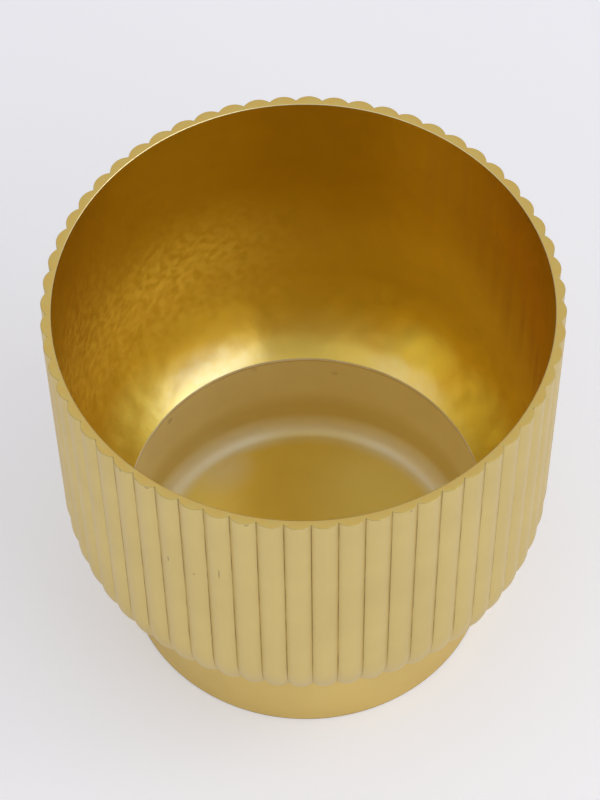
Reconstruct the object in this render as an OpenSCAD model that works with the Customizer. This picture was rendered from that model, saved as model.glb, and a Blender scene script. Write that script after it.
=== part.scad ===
// Ribbed round planter on a plain foot, gold lacquered metal.
// Frame: the origin is the centre of the foot on the ground, +Z is up, millimetres.

/* [Bowl] */
// Diameter over the rib crests at the rim
rim_d = 200; // [150:1:320]
// Height from the ground to the rim
total_h = 187; // [140:1:300]
// Lean of the wall inward on its way down, in degrees
wall_lean = 2; // [0:0.1:5]
// Wall thickness from a rib crest to the smooth inside
wall_t = 4.2; // [3.6:0.1:8]
// Radius of the crest line where the wall turns in under the bowl
bend_r = 40; // [30:0.5:50]
// Radius of the inside where the wall turns in above the lip
inner_bend_r = 44; // [30:0.5:70]

/* [Ribs] */
// Number of ribs round the bowl
rib_count = 60; // [36:1:80]
// Depth of the grooves between the ribs, at the rim
rib_depth = 2; // [1:0.1:2.6]
// Turn of the first groove from +X, in degrees
rib_turn = 1.1; // [0:0.1:6]

/* [Foot pan] */
// Outside diameter of the foot on the ground
foot_d = 144.6; // [120:0.1:155]
// Height of the foot pan
foot_h = 44.4; // [25:0.1:70]
// Lean of the foot's outside, outward on its way up, in degrees
foot_lean = 2; // [0:0.1:4]
// Wall thickness at the mouth of the pan
pan_wall_top = 2.2; // [1:0.1:4]
// Wall thickness at the bottom of the pan
pan_wall_low = 3.3; // [1.5:0.1:6]
// Thickness of the pan's floor
floor_t = 1.6; // [1:0.1:5]
// Hollow under the floor, inside the ring that the pan stands on
under_recess = 0.8; // [0.3:0.1:3]
// Radius between the pan's wall and its floor
pan_fillet = 8; // [3:0.5:14]
// Rounding of the foot's bottom edges
foot_round = 0.8; // [0.3:0.1:1.4]

/* [Seat of the pan in the bowl] */
// Depth of the step under the bowl that takes the pan's rim
seat_depth = 1.2; // [0.8:0.1:1.4]
// Radial clearance round the pan's rim
seat_clear = 0.1; // [0.05:0.01:0.3]
// Width of the bowl's underside outside the step, at a groove
seat_land = 1.5; // [1:0.1:4]
// How far the bowl's lip covers the pan's mouth
lip_over = 0.15; // [0.05:0.05:0.6]
// Thickness of the lip over the pan's rim
lip_t = 1.5; // [1:0.1:3]

/* [Hidden] */
rib_facets = 6;
inner_per_rib = 2;
bend_facets = 7;
inner_facets = 7;
fillet_facets = 16;
round_facets = 6;

// Radii at the rim and at the seat
rim_r = rim_d / 2;
foot_r = foot_d / 2;
foot_top_r = foot_r + foot_h * tan(foot_lean);
pan_mouth_r = foot_top_r - pan_wall_top;
pan_low_r = foot_r - pan_wall_low;
lip_r = pan_mouth_r - lip_over;
lip_z = foot_h + lip_t;
step_r = foot_top_r + seat_clear;
groove_share = 1 - rib_depth / rim_r;
under_r = (step_r + seat_land) / groove_share;
under_z = foot_h - seat_depth;

// Centre of a bend that touches the wall line below a rim point and ends at a given point
wall_down = [-sin(wall_lean), -cos(wall_lean)];
function bend_centre(rim, r, end) = let (
    at_rim = rim - [r / cos(wall_lean), 0],
    to_rim = at_rim - end,
    along = to_rim * wall_down)
    at_rim - wall_down * (along + sqrt(along * along - to_rim * to_rim + r * r));

// Bend of the crest line, down to the underside
outer_c = bend_centre([rim_r, total_h], bend_r, [under_r, under_z]);
under_angle = asin((outer_c.y - under_z) / bend_r);

// Bend of the inside, down to the lip
rim_inner_r = rim_r - wall_t / cos(wall_lean);
inner_c = bend_centre([rim_inner_r, total_h], inner_bend_r, [lip_r, lip_z]);
lip_angle = asin((inner_c.y - lip_z) / inner_bend_r);

// The flat facets of the inside touch its true circle at their middles
inside_share = 1 / cos(180 / (rib_count * inner_per_rib));

// Floor of the pan
floor_z = under_recess + floor_t;
recess_r = pan_low_r - pan_fillet / 2;

// One rib is an arc between two grooves; its radius at an angle from the rib's middle,
// as a share of the crest's
pitch = 360 / rib_count;
half_chord = groove_share * sin(pitch / 2);
rise = 1 - groove_share * cos(pitch / 2);
arc_share = (half_chord * half_chord + rise * rise) / (2 * rise);
function rib_share(a) = let (c = 1 - arc_share)
    c * cos(a) + sqrt(arc_share * arc_share - pow(c * sin(a), 2));

// Points of an arc from one angle to another
function arc(c, r, a0, a1, n) = [for (i = [0 : n])
    c + r * [cos(a0 + (a1 - a0) * i / n), sin(a0 + (a1 - a0) * i / n)]];

// Crest line from the rim down to the underside, as radius and height
crest_line = concat([[rim_r, total_h]], arc(outer_c, bend_r, -wall_lean, -under_angle, bend_facets));

// Inside line from the step under the bowl, over the lip and up to the rim
inside_line = concat([[step_r, under_z], [step_r, foot_h], [lip_r, foot_h]],
    arc(inner_c, inner_bend_r, -lip_angle, -wall_lean, inner_facets), [[rim_inner_r, total_h]]);

// Point of a line turned to an angle, with the radius scaled by a share
function turned(p, a, share) = [p.x * share * cos(a + rib_turn), p.x * share * sin(a + rib_turn), p.y];

// Ribbed body, open at the rim and round the seat of the pan
module bowl_shell() {
    inner_columns = rib_count * inner_per_rib;
    columns = rib_count * rib_facets;
    ratio = rib_facets / inner_per_rib;
    rings = len(crest_line);
    inner_rings = len(inside_line);
    first_inner = rings * columns;
    outside = [for (p = crest_line) for (i = [0 : columns - 1])
        let (a = i * pitch / rib_facets)
        turned(p, a, rib_share(a % pitch - pitch / 2))];
    inside = [for (p = inside_line) for (i = [0 : inner_columns - 1])
        turned(p, i * pitch / inner_per_rib, inside_share)];
    outer_faces = [for (k = [0 : rings - 2]) for (i = [0 : columns - 1])
        let (j = (i + 1) % columns)
        [k * columns + i, k * columns + j, (k + 1) * columns + j, (k + 1) * columns + i]];
    inner_faces = [for (k = [0 : inner_rings - 2]) for (i = [0 : inner_columns - 1])
        let (j = (i + 1) % inner_columns, c = first_inner + k * inner_columns)
        [c + i, c + j, c + inner_columns + j, c + inner_columns + i]];
    rim_faces = [for (i = [0 : inner_columns - 1])
        let (c = first_inner + (inner_rings - 1) * inner_columns)
        concat([c + i, c + (i + 1) % inner_columns],
            [for (m = [ratio : -1 : 0]) (i * ratio + m) % columns])];
    underside_faces = [for (i = [0 : inner_columns - 1])
        concat([for (m = [0 : ratio]) (rings - 1) * columns + (i * ratio + m) % columns],
            [first_inner + (i + 1) % inner_columns, first_inner + i])];
    color([0.80, 0.70, 0.44]) polyhedron(points = concat(outside, inside),
        faces = concat(outer_faces, inner_faces, rim_faces, underside_faces), convexity = 6);
}

// Plain foot ring and flat-floored well in one piece; its rim seats in the bowl's step
module foot_pan() {
    fillet_c = [pan_low_r - pan_fillet, floor_z + pan_fillet];
    edge_c = [foot_r - foot_round, foot_round];
    color([0.79, 0.68, 0.37]) rotate_extrude($fn = 180) polygon(concat(
        [[0, under_recess], [recess_r, under_recess], [recess_r + foot_round, 0]],
        arc(edge_c, foot_round, -90, 0, round_facets),
        [[foot_top_r, foot_h], [pan_mouth_r, foot_h]],
        arc(fillet_c, pan_fillet, 0, -90, fillet_facets),
        [[0, floor_z]]));
}

bowl_shell();
foot_pan();
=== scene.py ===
"""Looks of the ribbed gold planter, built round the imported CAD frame. Lengths are in metres."""

import math

import bpy
import numpy as np
from mathutils import Matrix, Vector, noise


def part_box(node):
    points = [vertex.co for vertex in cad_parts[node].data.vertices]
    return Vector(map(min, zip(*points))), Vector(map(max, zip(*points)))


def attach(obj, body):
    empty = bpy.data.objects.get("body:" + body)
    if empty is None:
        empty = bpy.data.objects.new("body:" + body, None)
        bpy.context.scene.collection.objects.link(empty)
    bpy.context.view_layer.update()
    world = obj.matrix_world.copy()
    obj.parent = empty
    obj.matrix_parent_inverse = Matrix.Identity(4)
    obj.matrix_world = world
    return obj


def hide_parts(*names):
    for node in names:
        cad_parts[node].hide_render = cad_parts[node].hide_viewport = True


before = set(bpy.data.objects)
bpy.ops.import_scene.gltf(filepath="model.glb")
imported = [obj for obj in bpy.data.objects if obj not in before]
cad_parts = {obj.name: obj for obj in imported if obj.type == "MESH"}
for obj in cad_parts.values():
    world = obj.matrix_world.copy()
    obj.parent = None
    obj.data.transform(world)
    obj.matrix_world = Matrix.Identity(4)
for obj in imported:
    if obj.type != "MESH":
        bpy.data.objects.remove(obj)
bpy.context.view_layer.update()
BODY = "root"
MM = 0.001

# Sizes of the bowl, as in the CAD model
RIM_R = 100 * MM
TOTAL_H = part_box("bowl_shell")[1].z
WALL_LEAN = math.radians(2)
WALL_T = 4.2 * MM
BEND_R = 40 * MM
INNER_BEND_R = 44 * MM
RIB_COUNT = 60
RIB_DEPTH = 2 * MM
RIB_TURN = math.radians(1.1)
PITCH = 2 * math.pi / RIB_COUNT
GROOVE_SHARE = 1 - RIB_DEPTH / RIM_R

# Sizes of the foot pan and of its seat in the bowl
FOOT_R = 72.3 * MM
FOOT_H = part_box("foot_pan")[1].z
FOOT_LEAN = math.radians(2)
FOOT_TOP_R = FOOT_R + FOOT_H * math.tan(FOOT_LEAN)
PAN_WALL_TOP = 2.2 * MM
PAN_WALL_LOW = 3.3 * MM
PAN_MOUTH_R = FOOT_TOP_R - PAN_WALL_TOP
PAN_LOW_R = FOOT_R - PAN_WALL_LOW
FLOOR_Z = 2.4 * MM
UNDER_RECESS = 0.8 * MM
PAN_FILLET = 8 * MM
FOOT_ROUND = 0.8 * MM
SEAT_DEPTH = 1.2 * MM
SEAT_CLEAR = 0.1 * MM
STEP_R = FOOT_TOP_R + SEAT_CLEAR
SEAT_LAND = 1.5 * MM
LIP_OVER = 0.15 * MM
LIP_T = 1.5 * MM
LIP_R = PAN_MOUTH_R - LIP_OVER
LIP_Z = FOOT_H + LIP_T

# Small roundings that the eye reads as bright or dark lines
RIM_ROUND_IN = 0.5 * MM
RIM_ROUND_OUT = 0.25 * MM
LIP_ROUND = 1 * MM
# Points of the lip's rounding, as shares of it
LIP_LEAN_SHARE = 0.08
LIP_DROP_SHARE = 0.45
LIP_SHOULDER_SHARE = 0.3

# Fineness of the meshes: columns round them, and rings along each stretch of their outlines
RIB_COLUMNS = 12
WALL_RINGS = 30
BEND_RINGS = 26
INNER_BEND_RINGS = 44
INNER_WALL_RINGS = 84
RIM_RINGS = 4
PAN_COLUMNS = 360
WELL_FLOOR_RINGS = 23
FILLET_RINGS = 16
WELL_WALL_RINGS = 21
FOOT_RINGS = 14
FOOT_ROUND_RINGS = 6
UNDER_RINGS = 11
SHARP_ANGLE = math.radians(35)

# Beating of the inside: for each size of dent, its width, its depth and its own place in the noise
DENTS = [(9 * MM, 0.11 * MM, 3.0), (5 * MM, 0.03 * MM, 17.0)]
# The dents fade out this close to the lip and the rim. Up to the first height they are deeper by
# this factor, and from the second height on they are as deep as given.
DENT_FADE = 4 * MM
BEND_BEATING = 2.5
BEATEN_HARD, BEATEN_SOFT = 72 * MM, 100 * MM

# The camera, fitted to the rim, the ribs, the seam and the foot in the photograph; angles in radians
CAM_DISTANCE = 20 * RIM_R
CAM_ELEVATION = 0.96674
CAM_YAW = -0.00156
CAM_PITCH = 0.98441
CAM_ROLL = -0.01398
CAM_FOCAL_PX = 5270.3
CAM_NEAREST, CAM_FURTHEST = 0.05, 50
PHOTO_LONG_PX = 800
SENSOR = 36

# Colours, as the red, green and blue that they reflect: the outside, the rim and the foot
GOLD = (0.755, 0.595, 0.21)
EDGE_TINT = (0.80, 0.73, 0.74)
RIM_GOLD = (0.9362, 0.6426, 0.1806)
RIM_PALE = (0.906, 0.67235, 0.21)
FOOT_GOLD = (0.8154, 0.6188, 0.2142)
# The inside from the rim down: deeper toward the rim as painted shade and paler at the lip as painted
# highlight; then its marks, whose colours are painted light, shade and highlights
DEEP_GOLD = (0.62, 0.35, 0.01)
MID_GOLD = (0.86, 0.585, 0.05)
LIP_GOLD = (0.95, 0.70, 0.14)
# Lighter colour of the rubbed patches: painted light
LIT_RUBBED_GOLD = (0.91, 0.61, 0.07)
# Darker patch on the right wall: painted shade
SHADE_GOLD = (0.60, 0.41, 0.03)
# Dark upright streaks: painted shade, as dark bands in the reflection
STREAK_GOLD = (0.60, 0.33, 0.02)
# Yellow glow along the highlight in the bend: painted highlight
YELLOW_GOLD = (1.0, 0.93, 0.22)
# Pale gold of the painted highlights in the bend; also the polished inner edge of the rim
PALE_GOLD = (1.0, 0.90, 0.52)
# The well from its wall down to its floor, with a painted highlight in the fillet and painted shade in a band
# above it; and the dark colour for grime and for painted shade anywhere
WELL_GOLD = (1.0, 0.90, 0.53)
# Darker band low on the well's wall: painted shade
BAND_GOLD = (0.88, 0.75, 0.34)
FLOOR_GOLD = (0.93, 0.74, 0.16)
# Paler patches on the floor of the well: painted reflection
FLOOR_PALE = (1.0, 0.90, 0.33)
# Pale colour of the painted highlights on the lip and in the fillet
PALE_HIGHLIGHT = (1.0, 0.96, 0.74)
# Dark colour for grime, scuffs and smudges, and for painted shade in the grooves and at the ground
GRIME_AND_SHADE = (0.27, 0.18, 0.06)

# Drift of the tones: the width of its patches on each finish, the noise from dark to light, and how
# far red, green and blue drift as shares of red's drift
OUTSIDE_DRIFT = 30 * MM
INSIDE_DRIFT = 16 * MM
LIP_DRIFT = 6 * MM
FOOT_DRIFT = 25 * MM
WELL_DRIFT = 20 * MM
DARK_NOISE, LIGHT_NOISE = 0.3, 0.7
DRIFT_SHARES = (1, 1.2, 1.6)

# Grain of each finish: its width, then the roughness where it is smoothest and where it is roughest
RIB_GRAIN = (0.7 * MM, 0.46, 0.58)
INSIDE_GRAIN = (2.4 * MM, 0.285, 0.325)
RIM_GRAIN = (1.1 * MM, 0.38, 0.5)
FOOT_GRAIN = (0.8 * MM, 0.42, 0.55)
WELL_GRAIN = (0.9 * MM, 0.38, 0.48)
# Height of the grain where it shows as relief
RIB_RELIEF = 0.02 * MM
INSIDE_RELIEF = 0.04 * MM

# Patches in the marks and on the rim: their width, the noise from weak to strong, and the strength
# at either end
GROOVE_PATCHES = (3 * MM, 0.35, 0.6, 0.25, 0.75)
RIM_PATCHES = (3 * MM, 0.35, 0.65, 0, 1)
STREAK_PATCHES = (6 * MM, 0.46, 0.58, 0.1, 0.85)
HIGHLIGHT_PATCHES = (3.5 * MM, 0.35, 0.65, 0.65, 1)
RUBBED_AND_LIT_PATCHES = (3.4 * MM, 0.36, 0.64, 0.3, 1)
SMUDGE_PATCHES = (1.5 * MM, 0.4, 0.6, 0.1, 0.4)
# Detail of the finer noise, and how far noise is stretched along X, along Y and upwards
FINE_DETAIL = 3
GROOVE_STRETCH = (1, 1, 5)
STREAK_STRETCH = (1, 1, 25)

# Painted shade in a groove: half its width as a share of a rib, the share of that which is full, the heights
# between which it fades in, and its strength below them
GROOVE_LINE_SHARE = 0.028
GROOVE_CORE_SHARE = 0.3
GROOVE_FAINT, GROOVE_FULL = 55 * MM, 85 * MM
FAINT_STRENGTH = 0.1
# Painted contact shadow at the ground: from where it starts down to where it is full, and its strength there
GROUND_SHADOW = (1.4 * MM, 0.4 * MM)
GROUND_SHADOW_STRENGTH = 0.6
# Polished inner edge of the rim, measured down from its face
RIM_EDGE = (0.02 * MM, 0.12 * MM)

# Tones of the inside: how high the lip's own pale tone reaches, a painted highlight, and the heights between
# which it deepens toward the rim, a painted shade
LIP_TONE = 21 * MM
DEEPENING = (72 * MM, 150 * MM)
# Slope of the bend just above the lip, for placing marks on it
BEND_SLOPE = 0.8

# Well: the edge of the bloom as distances from the middle, then how far above the floor the bloom, the band
# and the floor's own tone reach. The bloom is a painted highlight and the band is painted shade
BLOOM_EDGE = (57 * MM, 63 * MM)
BLOOM_TOP = (1.5 * MM, 8 * MM)
BAND_TOP = (12 * MM, 24 * MM)
FLOOR_END = 2 * MM

# How much rougher the inside is off the lip and where it is rubbed, and the well's wall than its
# floor; and how much smoother the polished edge of the rim is
OFF_LIP_ROUGHER = 0.07
RUBBED_ROUGHER = 0.185
WELL_WALL_ROUGHER = 0.12
RIM_EDGE_SMOOTHER = 0.1

# Marks on the ribs, inside and under the lip: azimuth in degrees and height, then the size along the wall and
# up it. The scuffs and smudges are real marks; the colours of the marks on the inside wall are painted light
# and shade
SCUFFS = [
    (250.4, 145 * MM, 0.7 * MM, 9 * MM),
    (237.9, 141.5 * MM, 0.8 * MM, 5 * MM),
    (244.3, 138.5 * MM, 1.0 * MM, 1.6 * MM),
    (226.4, 186 * MM, 1.2 * MM, 1.4 * MM),
    (233.6, 186 * MM, 2.4 * MM, 1.2 * MM),
    (257.2, 186 * MM, 2.2 * MM, 1.2 * MM),
    (293.0, 186 * MM, 1.8 * MM, 1.2 * MM),
]
# Rubbed patches on the inside wall: a rougher finish, and a lighter colour that is painted light
RUBBED_AND_LIT = [
    (176, 112 * MM, 170 * MM, 160 * MM),
    (156, 90 * MM, 190 * MM, 130 * MM),
    (124, 92 * MM, 180 * MM, 110 * MM),
]
# Painted shade on the right wall
SHADED_RIGHT = [(57, 82 * MM, 104 * MM, 84 * MM)]
# Painted shade in upright streaks on the right upper wall
STREAKED = [(44, 165 * MM, 110 * MM, 110 * MM), (16, 140 * MM, 110 * MM, 130 * MM)]
SMUDGES = [
    (106.7, 42.6 * MM, 4 * MM, 4 * MM),
    (140.3, 40.4 * MM, 5 * MM, 5 * MM),
    (79.8, 37.5 * MM, 4 * MM, 4 * MM),
]
# Painted highlights in the bend: azimuth in degrees and distance from the axis, then the size in the same way
YELLOW_HIGHLIGHTS = [
    (149, 77 * MM, 76 * MM, 36 * MM),
    (26, 77 * MM, 84 * MM, 40 * MM),
    (53, 83 * MM, 50 * MM, 30 * MM),
]
# Pale spots where the key light's highlight lies, strong and faint: painted highlight
HIGHLIGHT_SPOTS = [(124, 73.5 * MM, 76 * MM, 22 * MM)]
FAINT_HIGHLIGHT_SPOTS = [(54, 73.5 * MM, 56 * MM, 12 * MM)]
# Painted light on the floor of the well: place along X and along Y, then the size in the same way. The floor
# patches are paler as painted reflection; the spread bloom widens the painted highlight and the dimmed bloom
# weakens it
FLOOR_PATCHES = [(-44 * MM, 28 * MM, 58 * MM, 58 * MM), (30 * MM, 34 * MM, 84 * MM, 84 * MM)]
SPREAD_BLOOM = [(-35 * MM, 48 * MM, 36 * MM, 36 * MM)]
DIMMED_BLOOM = [(4 * MM, 64 * MM, 64 * MM, 64 * MM)]

# Floor: half its width, its colour, and the share and strength of the light of its own.
# Close to the foot a gloss sees less of that light.
STAGE_HALF = 6.0
SWEEP = (0.90, 0.895, 0.94)
SWEEP_SHARE = 0.16
SWEEP_GLOW = 2.1
NEAR_GLOW = 0.45

# Brightness of the room by height, from level (0) to overhead (1)
ROOM_LIGHT = [(0, 0.3), (0.45, 0.34), (0.62, 0.6), (1, 0.6)]
ROOM_TINT = (0.97, 0.98, 1.0)

# Softboxes round the planter: azimuth and elevation in degrees, width, height and brightness
SOFTBOXES = {
    "key": (330, 47, 1.5, 0.5, 2.15),
    "key_side": (2, 46, 0.8, 0.45, 1.3),
    "key_low": (333, 38, 1.6, 0.35, 0.45),
    "fill_left": (217, 44, 1.6, 0.7, 0.52),
}
LAMP_DISTANCE = 1.6


def arc(centre, radius, start, end, count):
    """Points of an arc in the (radius, height) plane, both ends included."""
    return [
        (centre[0] + radius * math.cos(a), centre[1] + radius * math.sin(a))
        for a in np.linspace(start, end, count + 1)
    ]


def straight(start, end, count):
    """Points of a line in the (radius, height) plane, both ends included."""
    start, end = np.array(start), np.array(end)
    return [tuple(start + (end - start) * t) for t in np.linspace(0, 1, count + 1)]


def bend_centre(rim, radius, end):
    """Centre of an arc that touches the wall line below a rim point and ends at a point."""
    down = Vector((-math.sin(WALL_LEAN), -math.cos(WALL_LEAN)))
    at_rim = Vector((rim[0] - radius / math.cos(WALL_LEAN), rim[1]))
    to_rim = at_rim - Vector(end)
    along = to_rim.dot(down)
    return at_rim - down * (along + math.sqrt(along**2 - to_rim.length_squared + radius**2))


def rib_share(turn):
    """Radius of the ribs at an angle round the bowl, as a share of the crest's."""
    off_middle = (turn - RIB_TURN) % PITCH - PITCH / 2
    chord = GROOVE_SHARE * math.sin(PITCH / 2)
    rise = 1 - GROOVE_SHARE * math.cos(PITCH / 2)
    radius = (chord**2 + rise**2) / (2 * rise)
    centre = 1 - radius
    return centre * np.cos(off_middle) + np.sqrt(radius**2 - (centre * np.sin(off_middle)) ** 2)


def even(turn, radius, height):
    """Radius of a plain round stretch at each angle."""
    return np.full(len(turn), radius)


def ribbed(turn, radius, height):
    """Radius of the ribbed outside at each angle."""
    return radius * rib_share(turn)


def beaten(turn, radius, height):
    """Radius of the inside at each angle: a smooth one, moved by the shallow dents of each size."""
    from_edge = min(height - LIP_Z, TOTAL_H - RIM_ROUND_IN - height)
    harder = np.interp(height, (BEATEN_HARD, BEATEN_SOFT), (BEND_BEATING, 1))
    strength = harder * min(1, max(0, from_edge / DENT_FADE))
    ring = [Vector((radius * math.cos(a), radius * math.sin(a), height)) for a in turn]
    for width, depth, place in DENTS:
        aside = Vector((place, 0, 0))
        radius = radius + strength * depth * np.array([noise.noise(p / width + aside) for p in ring])
    return radius


def lathe(name, lines, columns, poles=None):
    """Mesh turned about Z. lines is [(points, material index, wall)], each point (radius, height).

    wall(turn, radius, height) gives the radius at each angle. poles is the heights of the first and
    last centre points; without it the last ring joins the first."""
    turn = RIB_TURN + np.arange(columns) * 2 * math.pi / columns
    points, faces, slots = [], [], []
    rings = [(point, slot, wall) for line, slot, wall in lines for point in line]
    here = np.arange(columns)
    beside = (here + 1) % columns
    for k, ((radius, height), slot, wall) in enumerate(rings):
        radii = wall(turn, radius, height)
        points += np.stack([radii * np.cos(turn), radii * np.sin(turn), np.full(columns, height)], 1).tolist()
        if k + 1 < len(rings) or not poles:
            low, high = k * columns, (k + 1) % len(rings) * columns
            faces += np.stack([here + high, beside + high, beside + low, here + low], 1).tolist()
            slots += [slot] * columns
    if poles:
        last = (len(rings) - 1) * columns
        first_pole, last_pole = len(points), len(points) + 1
        points += [(0, 0, height) for height in poles]
        faces += [(first_pole, a, b) for a, b in zip(here.tolist(), beside.tolist())]
        faces += [(last_pole, b + last, a + last) for a, b in zip(here.tolist(), beside.tolist())]
        slots += [lines[0][1]] * columns + [lines[-1][1]] * columns
    mesh = bpy.data.meshes.new(name)
    mesh.from_pydata(points, [], faces)
    mesh.polygons.foreach_set("material_index", slots)
    mesh.polygons.foreach_set("use_smooth", [True] * len(slots))
    mesh.set_sharp_from_angle(angle=SHARP_ANGLE)
    mesh.update()
    piece = bpy.data.objects.new(name, mesh)
    bpy.context.scene.collection.objects.link(piece)
    return piece


def make_bowl():
    """The ribbed shell as one closed mesh."""
    under = ((STEP_R + SEAT_LAND) / GROOVE_SHARE, FOOT_H - SEAT_DEPTH)
    outer = bend_centre((RIM_R, TOTAL_H), BEND_R, under)
    under_angle = math.asin((outer.y - under[1]) / BEND_R)
    outer_rim = (RIM_R - RIM_ROUND_OUT * math.tan(WALL_LEAN), TOTAL_H - RIM_ROUND_OUT)
    turn_in = arc(outer, BEND_R, -WALL_LEAN, -under_angle, BEND_RINGS)
    outside = straight(outer_rim, turn_in[0], WALL_RINGS)[:-1] + turn_in

    rim_in = RIM_R - WALL_T / math.cos(WALL_LEAN)
    inner = bend_centre((rim_in, TOTAL_H), INNER_BEND_R, (LIP_R, LIP_Z))
    lip_angle = math.acos((LIP_R + LIP_ROUND * LIP_SHOULDER_SHARE - inner.x) / INNER_BEND_R)
    seat = [(STEP_R, FOOT_H - SEAT_DEPTH), (STEP_R, FOOT_H), (LIP_R, FOOT_H)]
    lip = [
        (LIP_R, LIP_Z - LIP_ROUND),
        (LIP_R + LIP_ROUND * LIP_LEAN_SHARE, LIP_Z - LIP_ROUND * LIP_DROP_SHARE),
    ]
    turn_out = arc(inner, INNER_BEND_R, -lip_angle, -WALL_LEAN, INNER_BEND_RINGS)
    upright = straight(turn_out[-1], (rim_in, TOTAL_H - RIM_ROUND_IN), INNER_WALL_RINGS)
    rim_centre = (rim_in + RIM_ROUND_IN, TOTAL_H - RIM_ROUND_IN)
    rim = arc(rim_centre, RIM_ROUND_IN, math.pi, math.pi / 2, RIM_RINGS)[1:]
    edge = [(RIM_R - RIM_ROUND_OUT, TOTAL_H)]

    outside_slot, inside_slot, rim_slot, lip_slot = range(4)
    lines = [
        (outside, outside_slot, ribbed),
        (seat, outside_slot, even),
        (lip, lip_slot, even),
        (turn_out[:-1] + upright, inside_slot, beaten),
        (rim, rim_slot, even),
        (edge, outside_slot, ribbed),
    ]
    piece = lathe("bowl_shell_finished", lines, RIB_COUNT * RIB_COLUMNS)
    for material in (outside_material(), inside_material(), rim_material(), lip_material()):
        piece.data.materials.append(material)
    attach(piece, BODY)
    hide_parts("bowl_shell")


def make_pan():
    """The foot ring and its well as one closed mesh."""
    fillet = (PAN_LOW_R - PAN_FILLET, FLOOR_Z + PAN_FILLET)
    recess_r = PAN_LOW_R - PAN_FILLET / 2
    well = straight((fillet[0] / (WELL_FLOOR_RINGS + 1), FLOOR_Z), (fillet[0], FLOOR_Z), WELL_FLOOR_RINGS)
    well += arc(fillet, PAN_FILLET, -math.pi / 2, 0, FILLET_RINGS)[1:]
    well += straight((PAN_LOW_R, fillet[1]), (PAN_MOUTH_R, FOOT_H), WELL_WALL_RINGS)[1:]
    outside = straight((FOOT_TOP_R, FOOT_H), (FOOT_R, FOOT_ROUND), FOOT_RINGS)
    outside += arc((FOOT_R - FOOT_ROUND, FOOT_ROUND), FOOT_ROUND, 0, -math.pi / 2, FOOT_ROUND_RINGS)[1:]
    under = [(recess_r + FOOT_ROUND, 0)]
    under += straight((recess_r, UNDER_RECESS), (recess_r / (UNDER_RINGS + 1), UNDER_RECESS), UNDER_RINGS)

    foot_slot, well_slot = range(2)
    lines = [(well, well_slot, even), (outside, foot_slot, even), (under, foot_slot, even)]
    piece = lathe("foot_pan_finished", lines, PAN_COLUMNS, poles=(FLOOR_Z, UNDER_RECESS))
    for material in (foot_material(), well_material()):
        piece.data.materials.append(material)
    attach(piece, BODY)
    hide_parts("foot_pan")


def at(azimuth, radius, height):
    """Point at an azimuth in degrees, a distance from the axis and a height."""
    turn = math.radians(azimuth)
    return radius * math.cos(turn), radius * math.sin(turn), height


def wall_radius(height):
    """Distance from the axis to a rib's crest, above the bend."""
    return RIM_R - (TOTAL_H - height) * math.tan(WALL_LEAN)


def on_rib(azimuth, height):
    """Point on the ribs above the bend."""
    return at(azimuth, wall_radius(height) * rib_share(math.radians(azimuth)), height)


def on_inside(azimuth, height):
    """Point on the inside above the bend."""
    return at(azimuth, wall_radius(height) - WALL_T, height)


def in_bend(azimuth, radius):
    """Point on the inside of the bend."""
    return at(azimuth, radius, LIP_Z + (radius - LIP_R) * BEND_SLOPE)


def in_well(azimuth, height):
    """Point on the wall of the well."""
    return at(azimuth, PAN_LOW_R + (PAN_MOUTH_R - PAN_LOW_R) * height / FOOT_H, height)


def on_floor(x, y):
    """Point on the floor of the well."""
    return x, y, FLOOR_Z


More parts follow.
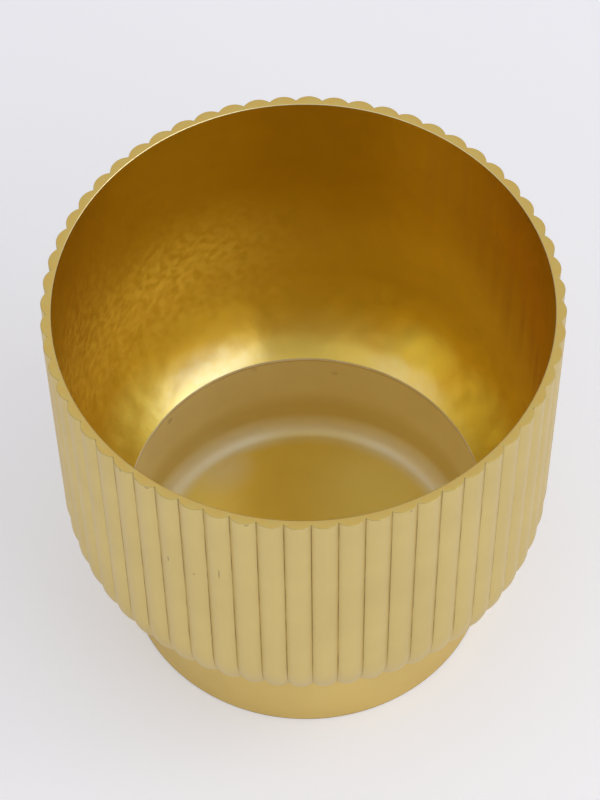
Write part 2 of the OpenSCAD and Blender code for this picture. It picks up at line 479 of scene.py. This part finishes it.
class Nodes:
    """Short way to write a material's node tree. A source is a (node, output) pair."""

    def __init__(self, name):
        self.material = bpy.data.materials.new(name)
        self.material.use_nodes = True
        self.tree = self.material.node_tree
        self.tree.nodes.clear()
        self.shader = self.add("ShaderNodeBsdfPrincipled")
        self.output = self.add("ShaderNodeOutputMaterial")
        self.link(self.shader, "BSDF", self.output, "Surface")
        self.place = (self.add("ShaderNodeTexCoord"), "Object")

    def add(self, kind, **values):
        """New node with some of its properties set."""
        node = self.tree.nodes.new(kind)
        for key, value in values.items():
            setattr(node, key, value)
        return node

    def link(self, source, out, target, into):
        """Link from a node's output to another's input."""
        self.tree.links.new(source.outputs[out], target.inputs[into])

    def set(self, values):
        """Values that are the same all over the surface, by the name of the shader's input."""
        for name, value in values.items():
            self.shader.inputs[name].default_value = value

    def feed(self, sources):
        """Sources that vary over the surface, by the name of the shader's input."""
        for name, source in sources.items():
            self.link(*source, self.shader, name)

    def math(self, operation, *values):
        """Math node; each value is a number or a source."""
        node = self.add("ShaderNodeMath", operation=operation)
        for socket, value in zip(node.inputs, values):
            if isinstance(value, tuple):
                self.tree.links.new(value[0].outputs[value[1]], socket)
            else:
                socket.default_value = value
        return node, 0

    def times(self, first, second):
        """Product of two numbers or sources."""
        return self.math("MULTIPLY", first, second)

    def range(self, source, low, high, to_low=0.0, to_high=1.0, smooth=False):
        """Value taken from low..high to to_low..to_high."""
        node = self.add("ShaderNodeMapRange", interpolation_type="SMOOTHSTEP" if smooth else "LINEAR")
        self.link(*source, node, "Value")
        for socket, value in zip(node.inputs[1:5], (low, high, to_low, to_high)):
            socket.default_value = value
        return node, 0

    def between(self, source, at_none, at_full):
        """Value taken from 0..1 to at_none..at_full."""
        return self.range(source, 0, 1, at_none, at_full)

    def noise(self, width, detail=2.0, stretch=(1, 1, 1), place=None):
        """Noise with cells of a width; stretch lengthens them along each axis."""
        mapping = self.add("ShaderNodeMapping")
        mapping.inputs["Scale"].default_value = [1 / s for s in stretch]
        self.link(*(place or self.place), mapping, "Vector")
        texture = self.add("ShaderNodeTexNoise")
        texture.inputs["Scale"].default_value = 1 / width
        texture.inputs["Detail"].default_value = detail
        self.link(mapping, 0, texture, "Vector")
        return texture, 0

    def patches(self, width, weak, strong, least, most, **how):
        """Strength of patches of a width: from least to most, where the noise is weak to strong."""
        return self.range(self.noise(width, **how), weak, strong, least, most)

    def grain(self, width, smooth, rough):
        """Fine noise, and the roughness that follows it."""
        cells = self.noise(width)
        return cells, self.between(cells, smooth, rough)

    def mix(self, share, first, second):
        """Colour mix; share is a source, and each colour is one too, or a triple."""
        node = self.add("ShaderNodeMix", data_type="RGBA")
        for name, value in (("Factor_Float", share), ("A_Color", first), ("B_Color", second)):
            socket = next(s for s in node.inputs if s.identifier == name)
            if len(value) == 2:
                self.tree.links.new(value[0].outputs[value[1]], socket)
            else:
                socket.default_value = (*value, 1)
        return node, next(i for i, s in enumerate(node.outputs) if s.identifier == "Result_Color")

    def bump(self, source, distance):
        """Normal of a surface that rises by a distance where the source is 1."""
        node = self.add("ShaderNodeBump")
        node.inputs["Distance"].default_value = distance
        self.link(*source, node, "Height")
        return node, 0

    def toned(self, width, colour, change=0.03, detail=2.0):
        """Colour that drifts a little lighter and darker over patches of a width."""
        darker, lighter = [
            tuple(channel * (1 + way * change * drift) for channel, drift in zip(colour, DRIFT_SHARES))
            for way in (-1, 1)
        ]
        return self.mix(self.range(self.noise(width, detail), DARK_NOISE, LIGHT_NOISE), darker, lighter)

    def apart(self):
        """The place as three outputs: X, Y and Z."""
        split = self.add("ShaderNodeSeparateXYZ")
        self.link(*self.place, split, "Vector")
        return (split, "X"), (split, "Y"), (split, "Z")

    def height(self):
        """Height above the ground."""
        return self.apart()[2]

    def from_middle(self):
        """Distance from the middle of the foot on the ground."""
        length = self.add("ShaderNodeVectorMath", operation="LENGTH")
        self.link(*self.place, length, 0)
        return length, "Value"

    def around(self):
        """Place round the bowl in ribs, counted from the first groove."""
        x, y, _ = self.apart()
        return self.math("DIVIDE", self.math("SUBTRACT", self.math("ARCTAN2", y, x), RIB_TURN), PITCH)

    def unrolled(self):
        """Place on the wall as if it were laid out flat: along it, nothing, and up it."""
        joined = self.add("ShaderNodeCombineXYZ")
        self.link(*self.times(self.around(), PITCH * RIM_R), joined, "X")
        self.link(*self.height(), joined, "Z")
        return joined, 0

    def spots(self, middle, marks, core, strength=1):
        """Share of the marks: their strength in the core of one, 0 outside them all.

        marks is [(first, second, width, height)], and middle(first, second) is a mark's middle."""
        total = None
        for first, second, width, height in marks:
            off = self.add("ShaderNodeVectorMath", operation="SUBTRACT")
            self.link(*self.place, off, 0)
            off.inputs[1].default_value = middle(first, second)
            scaled = self.add("ShaderNodeVectorMath", operation="MULTIPLY")
            self.link(off, 0, scaled, 0)
            scaled.inputs[1].default_value = (2 / width, 2 / width, 2 / height)
            length = self.add("ShaderNodeVectorMath", operation="LENGTH")
            self.link(scaled, 0, length, 0)
            spot = self.range((length, "Value"), 1.0, core, smooth=True)
            total = self.math("MAXIMUM", total, spot) if total else spot
        return self.times(total, strength)


def outside_material():
    """Matt gold lacquer over cast metal, with painted shade in the grooves and a few scuffs on the ribs."""
    n = Nodes("gold_outside")
    n.set({"Metallic": 1, "Specular Tint": (*EDGE_TINT, 1), "Coat Weight": 0.5, "Coat Roughness": 0.3})
    from_groove = n.math("PINGPONG", n.around(), 0.5)
    line = n.range(from_groove, GROOVE_LINE_SHARE, GROOVE_LINE_SHARE * GROOVE_CORE_SHARE, smooth=True)
    broken = n.patches(*GROOVE_PATCHES, stretch=GROOVE_STRETCH)
    higher = n.range(n.height(), GROOVE_FAINT, GROOVE_FULL, FAINT_STRENGTH, 1, smooth=True)
    # Grooves darkened with painted shade, fuller higher up
    grooves = n.times(line, n.times(broken, higher))
    scuffs = n.spots(on_rib, SCUFFS, core=0.5, strength=0.6)
    grain, roughness = n.grain(*RIB_GRAIN)
    n.feed({
        "Base Color": n.mix(n.math("MAXIMUM", grooves, scuffs), n.toned(OUTSIDE_DRIFT, GOLD), GRIME_AND_SHADE),
        "Roughness": roughness,
        "Normal": n.bump(grain, RIB_RELIEF),
    })
    return n.material


def inside_material():
    """Satin gold, beaten, and rougher in rubbed patches: pale above the lip as painted highlight, deeper in
    tone up the wall as painted shade, with patches of painted light, shade and highlights.
    """
    n = Nodes("gold_inside")
    n.set({"Metallic": 1, "Anisotropic": 0.85, "Anisotropic Rotation": 0.25})
    # Paler at the lip as painted highlight, deeper toward the rim as painted shade
    off_lip = n.range(n.height(), LIP_Z, LIP_Z + LIP_TONE, smooth=True)
    near_rim = n.range(n.height(), *DEEPENING, smooth=True)
    at_lip, middle, deep = [
        n.toned(INSIDE_DRIFT, tone, detail=FINE_DETAIL) for tone in (LIP_GOLD, MID_GOLD, DEEP_GOLD)
    ]
    colour = n.mix(near_rim, n.mix(off_lip, at_lip, middle), deep)

    # Darker patch on the right wall: painted shade
    shaded_right = n.spots(on_inside, SHADED_RIGHT, core=0.1, strength=0.5)
    colour = n.mix(shaded_right, colour, SHADE_GOLD)
    # Dark upright streaks on the right upper wall: painted shade
    streaks = n.patches(*STREAK_PATCHES, stretch=STREAK_STRETCH, place=n.unrolled())
    streaked = n.times(streaks, n.spots(on_inside, STREAKED, core=0.3))
    colour = n.mix(streaked, colour, STREAK_GOLD)
    # Yellow glow along the highlight in the bend: painted highlight
    yellow_highlight = n.spots(in_bend, YELLOW_HIGHLIGHTS, core=0.2, strength=0.85)
    colour = n.mix(yellow_highlight, colour, YELLOW_GOLD)
    # Pale spots on the bend: painted highlight
    faint_highlight = n.spots(in_bend, FAINT_HIGHLIGHT_SPOTS, core=0.2, strength=0.5)
    highlight = n.math("MAXIMUM", n.spots(in_bend, HIGHLIGHT_SPOTS, core=0.2), faint_highlight)
    colour = n.mix(n.times(highlight, n.patches(*HIGHLIGHT_PATCHES)), colour, PALE_GOLD)
    # Rubbed patches: rougher, and lighter in colour as painted light
    patchy = n.patches(*RUBBED_AND_LIT_PATCHES, detail=FINE_DETAIL)
    rubbed_and_lit = n.times(n.spots(on_inside, RUBBED_AND_LIT, core=0), patchy)

    grain, roughness = n.grain(*INSIDE_GRAIN)
    roughness = n.math("ADD", roughness, n.times(off_lip, OFF_LIP_ROUGHER))
    n.feed({
        "Base Color": n.mix(rubbed_and_lit, colour, LIT_RUBBED_GOLD),
        "Roughness": n.math("ADD", roughness, n.times(rubbed_and_lit, RUBBED_ROUGHER)),
        "Normal": n.bump(grain, INSIDE_RELIEF),
        "Tangent": (n.add("ShaderNodeTangent", direction_type="RADIAL", axis="Z"), 0),
    })
    return n.material


def rim_material():
    """Flat-cut face of the rim, with its inner edge polished by wear."""
    n = Nodes("gold_rim")
    n.set({"Metallic": 1})
    edge = n.range(n.height(), TOTAL_H - RIM_EDGE[0], TOTAL_H - RIM_EDGE[1])
    face = n.mix(n.patches(*RIM_PATCHES), RIM_GOLD, RIM_PALE)
    _, roughness = n.grain(*RIM_GRAIN)
    n.feed({
        "Base Color": n.mix(edge, face, PALE_GOLD),
        "Roughness": n.math("SUBTRACT", roughness, n.times(edge, RIM_EDGE_SMOOTHER)),
    })
    return n.material


def lip_material():
    """Bright edge of the lip over the well, in a pale colour that paints its highlight."""
    n = Nodes("gold_lip")
    n.set({"Roughness": 0.4})
    # Pale colour that paints the lip's highlight
    n.feed({"Base Color": n.toned(LIP_DRIFT, PALE_HIGHLIGHT, change=0.08)})
    return n.material


def foot_material():
    """Smooth plain foot ring, with a painted contact shadow at the ground."""
    n = Nodes("gold_foot")
    n.set({"Metallic": 1})
    # Painted contact shadow along the ground
    ground_shadow = n.range(n.height(), *GROUND_SHADOW, 0, GROUND_SHADOW_STRENGTH)
    _, roughness = n.grain(*FOOT_GRAIN)
    n.feed({
        "Base Color": n.mix(ground_shadow, n.toned(FOOT_DRIFT, FOOT_GOLD), GRIME_AND_SHADE),
        "Roughness": roughness,
    })
    return n.material


def well_material():
    """Matt inside of the foot pan: a yellower floor with paler patches of painted reflection, a pale bloom in
    the fillet that is a painted highlight, and a darker band above it that is painted shade.
    """
    n = Nodes("gold_well")
    off_floor = n.range(n.height(), FLOOR_Z, FLOOR_Z + FLOOR_END, smooth=True)
    near_fillet = n.range(n.from_middle(), *BLOOM_EDGE, smooth=True)
    above_bloom, above_band = [
        n.range(n.height(), FLOOR_Z + low, FLOOR_Z + high, smooth=True) for low, high in (BLOOM_TOP, BAND_TOP)
    ]
    # Bloom in the fillet: painted highlight
    in_fillet = n.times(near_fillet, n.math("SUBTRACT", 1, above_bloom))
    bloom = n.math("MAXIMUM", in_fillet, n.spots(on_floor, SPREAD_BLOOM, core=0.2, strength=0.6))
    bloom = n.times(bloom, n.between(n.spots(on_floor, DIMMED_BLOOM, core=0.2), 1, 0.4))

    floor_tone, wall_tone = [
        n.toned(WELL_DRIFT, tone, detail=FINE_DETAIL) for tone in (FLOOR_GOLD, WELL_GOLD)
    ]
    # Paler patches on the floor: painted reflection
    floor_tone = n.mix(n.spots(on_floor, FLOOR_PATCHES, core=0.1), floor_tone, FLOOR_PALE)
    # Darker band just above the bloom: painted shade
    wall_tone = n.mix(n.math("SUBTRACT", above_bloom, above_band), wall_tone, BAND_GOLD)
    colour = n.mix(bloom, n.mix(off_floor, floor_tone, wall_tone), PALE_HIGHLIGHT)
    smudges = n.times(n.spots(in_well, SMUDGES, core=0), n.patches(*SMUDGE_PATCHES))
    _, roughness = n.grain(*WELL_GRAIN)
    n.feed({
        "Base Color": n.mix(smudges, colour, GRIME_AND_SHADE),
        "Metallic": n.between(off_floor, 0.65, 0.3),
        "Roughness": n.math("ADD", roughness, n.times(off_floor, WELL_WALL_ROUGHER)),
    })
    return n.material


def stage_material():
    """Pale sweep, lit by the lamps, with some light of its own where an eye or a gloss sees it."""
    n = Nodes("sweep")
    n.set({"Base Color": (*SWEEP, 1), "Roughness": 0.9})
    glow = n.add("ShaderNodeEmission")
    glow.inputs["Color"].default_value = (*SWEEP, 1)
    glow.inputs["Strength"].default_value = SWEEP_GLOW
    path = n.add("ShaderNodeLightPath")
    open_floor = n.range(n.from_middle(), FOOT_R, 2 * FOOT_R, NEAR_GLOW, 1, smooth=True)
    seen = n.math("MAXIMUM", (path, "Is Camera Ray"), n.times((path, "Is Glossy Ray"), open_floor))
    mix = n.add("ShaderNodeMixShader")
    n.link(*n.times(seen, SWEEP_SHARE), mix, 0)
    n.link(n.shader, "BSDF", mix, 1)
    n.link(glow, "Emission", mix, 2)
    n.link(mix, "Shader", n.output, "Surface")
    return n.material


def make_stage():
    """Floor under the planter."""
    mesh = bpy.data.meshes.new("floor")
    signs = [(-1, -1), (1, -1), (1, 1), (-1, 1)]
    mesh.from_pydata([(x * STAGE_HALF, y * STAGE_HALF, 0) for x, y in signs], [], [(0, 1, 2, 3)])
    floor = bpy.data.objects.new("floor", mesh)
    bpy.context.scene.collection.objects.link(floor)
    mesh.materials.append(stage_material())


def softbox(name, azimuth, elevation, wide, high, glow):
    """Area light that faces the planter from a direction; glow is its own brightness."""
    light = bpy.data.lights.new(name, "AREA")
    light.shape = "RECTANGLE"
    light.size, light.size_y = wide, high
    light.energy = math.pi * wide * high * glow
    lamp = bpy.data.objects.new(name, light)
    rise = math.radians(elevation)
    way = Vector(at(azimuth, math.cos(rise), math.sin(rise)))
    lamp.location = Vector((0, 0, TOTAL_H / 2)) + way * LAMP_DISTANCE
    lamp.rotation_mode = "QUATERNION"
    lamp.rotation_quaternion = way.to_track_quat("Z", "Y")
    bpy.context.scene.collection.objects.link(lamp)


def make_room():
    """Room round the stage, brighter above than at eye level."""
    world = bpy.data.worlds.new("room")
    bpy.context.scene.world = world
    world.use_nodes = True
    tree = world.node_tree
    place = tree.nodes.new("ShaderNodeTexCoord")
    split = tree.nodes.new("ShaderNodeSeparateXYZ")
    ramp = tree.nodes.new("ShaderNodeValToRGB")
    tree.links.new(place.outputs["Generated"], split.inputs["Vector"])
    tree.links.new(split.outputs["Z"], ramp.inputs["Fac"])
    tree.links.new(ramp.outputs["Color"], tree.nodes["Background"].inputs["Color"])
    stops = ramp.color_ramp.elements
    for place_up, _ in ROOM_LIGHT[2:]:
        stops.new(place_up)
    for stop, (place_up, strength) in zip(stops, ROOM_LIGHT):
        stop.position = place_up
        stop.color = (*(strength * channel for channel in ROOM_TINT), 1)


def make_lights():
    """A wide key light on the right, with one beside it and one below it, and a dim fill on the left."""
    for name, settings in SOFTBOXES.items():
        softbox(name, *settings)


def make_camera():
    """The photograph's camera, with its slight roll."""
    data = bpy.data.cameras.new("camera")
    data.sensor_width = SENSOR
    data.lens = CAM_FOCAL_PX / PHOTO_LONG_PX * SENSOR
    data.clip_start, data.clip_end = CAM_NEAREST, CAM_FURTHEST
    camera = bpy.data.objects.new("camera", data)
    bpy.context.scene.collection.objects.link(camera)
    ahead = Vector((
        math.sin(CAM_YAW) * math.cos(CAM_PITCH),
        math.cos(CAM_YAW) * math.cos(CAM_PITCH),
        -math.sin(CAM_PITCH),
    ))
    level = ahead.cross(Vector((0, 0, 1))).normalized()
    upright = level.cross(ahead)
    right = math.cos(CAM_ROLL) * level + math.sin(CAM_ROLL) * upright
    up = -math.sin(CAM_ROLL) * level + math.cos(CAM_ROLL) * upright
    place = Vector((
        0,
        -CAM_DISTANCE * math.cos(CAM_ELEVATION),
        TOTAL_H + CAM_DISTANCE * math.sin(CAM_ELEVATION),
    ))
    turn = Matrix((right, up, -ahead)).transposed().to_4x4()
    camera.matrix_world = Matrix.Translation(place) @ turn
    bpy.context.scene.camera = camera


make_camera()
make_room()
make_lights()
make_stage()
make_bowl()
make_pan()

bpy.context.scene.view_settings.view_transform = "Standard"
